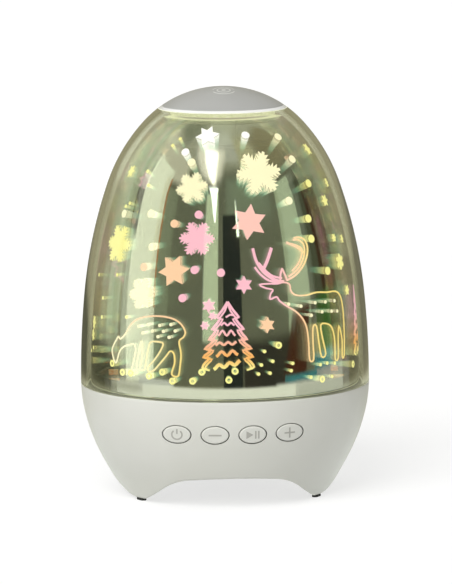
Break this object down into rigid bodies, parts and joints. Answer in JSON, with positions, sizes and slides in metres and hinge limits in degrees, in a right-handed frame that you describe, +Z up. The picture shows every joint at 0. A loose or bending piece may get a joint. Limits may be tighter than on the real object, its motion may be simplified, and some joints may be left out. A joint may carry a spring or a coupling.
{
  "type": "speaker lamp",
  "caption": "Egg-shaped speaker lamp: a clear dome over a dark mirror shell with lit figures, a touch cap on top and a legged base with push buttons and a speaker that fires down.",
  "frame": {"origin": "centre of the outline on the floor that the lamp stands on", "axes": "+Z up along the lamp's axis, -Y towards the buttons, +X to the right as seen from the front"},
  "size_m": [0.115, 0.115, 0.1621],
  "materials": {
    "pale_plastic": "satin",
    "white_plastic": "smooth",
    "grey_plastic": "satin",
    "cover_plastic": "fine grain",
    "dark_plastic": "satin",
    "clear_dome": "clear and glossy",
    "dark_mirror": "dark half mirror with clear etched figures that glow",
    "reflector": "dark satin reflector",
    "foot_rubber": "matte",
    "foam": "soft foam",
    "steel": "zinc plated",
    "dark_metal": "satin black",
    "magnet": "matte ferrite",
    "copper": "bare copper",
    "cone_paper": "matte pressed paper",
    "spider_cloth": "stiffened cloth",
    "battery_can": "wrapped in a plain blue sleeve",
    "capacitor_can": "satin",
    "circuit_board": "green lacquer",
    "light_element": "clear resin over lit elements",
    "lead_sleeve": "insulated"
  },
  "bodies": {
    "lamp_body": {"base_shell": "pale_plastic", "foot_right": "foot_rubber", "foot_rear": "foot_rubber", "foot_left": "foot_rubber", "bottom_cover": "cover_plastic", "deck_plate": "cover_plastic", "cover_screws": "steel", "deck_screws": "steel", "clear_dome": "clear_dome", "mirror_shell": "dark_mirror", "inner_reflector": "reflector", "cap_ring": "white_plastic", "touch_cap": "grey_plastic", "touch_foil": "copper", "centre_tube": "white_plastic", "touch_lead": "lead_sleeve", "light_board": "circuit_board", "light_screws": "steel", "lights": "light_element", "switch_housings": "dark_plastic", "button_board": "circuit_board", "speaker_gasket": "foam", "speaker_basket": "dark_metal", "speaker_screws": "steel", "speaker_top_plate": "steel", "speaker_magnet": "magnet", "speaker_yoke": "steel", "speaker_surround": "foot_rubber", "speaker_spider": "spider_cloth", "battery_cell": "battery_can", "battery_holder": "dark_plastic", "main_board": "circuit_board", "board_screws": "steel", "usb_socket": "steel", "audio_socket": "dark_plastic", "card_socket": "steel", "radio_module": "circuit_board", "amplifier_chip": "dark_plastic", "capacitors": "capacitor_can", "battery_lead": "lead_sleeve", "button_lead": "lead_sleeve", "light_lead": "lead_sleeve", "speaker_lead": "lead_sleeve"},
    "power_key": {"button_power": "pale_plastic", "plunger_power": "dark_plastic"},
    "minus_key": {"button_minus": "pale_plastic", "plunger_minus": "dark_plastic"},
    "play_key": {"button_play": "pale_plastic", "plunger_play": "dark_plastic"},
    "plus_key": {"button_plus": "pale_plastic", "plunger_plus": "dark_plastic"},
    "speaker_diaphragm": {"speaker_cone": "cone_paper", "dust_cap": "cone_paper", "voice_coil": "copper"}
  },
  "joints": [
    {"name": "power_press", "type": "slide", "parent": "lamp_body", "child": "power_key", "axis": [0, 1, 0], "range_m": [0, 0.0005], "stiffness_N_per_m": 3000},
    {"name": "minus_press", "type": "slide", "parent": "lamp_body", "child": "minus_key", "axis": [0, 1, 0], "range_m": [0, 0.0005], "stiffness_N_per_m": 3000},
    {"name": "play_press", "type": "slide", "parent": "lamp_body", "child": "play_key", "axis": [0, 1, 0], "range_m": [0, 0.0005], "stiffness_N_per_m": 3000},
    {"name": "plus_press", "type": "slide", "parent": "lamp_body", "child": "plus_key", "axis": [0, 1, 0], "range_m": [0, 0.0005], "stiffness_N_per_m": 3000},
    {"name": "cone_stroke", "type": "slide", "parent": "lamp_body", "child": "speaker_diaphragm", "axis": [0, 0, 1], "range_m": [-0.0015, 0.0015], "stiffness_N_per_m": 2500, "deforming": ["speaker_surround", "speaker_spider"]}
  ]
}
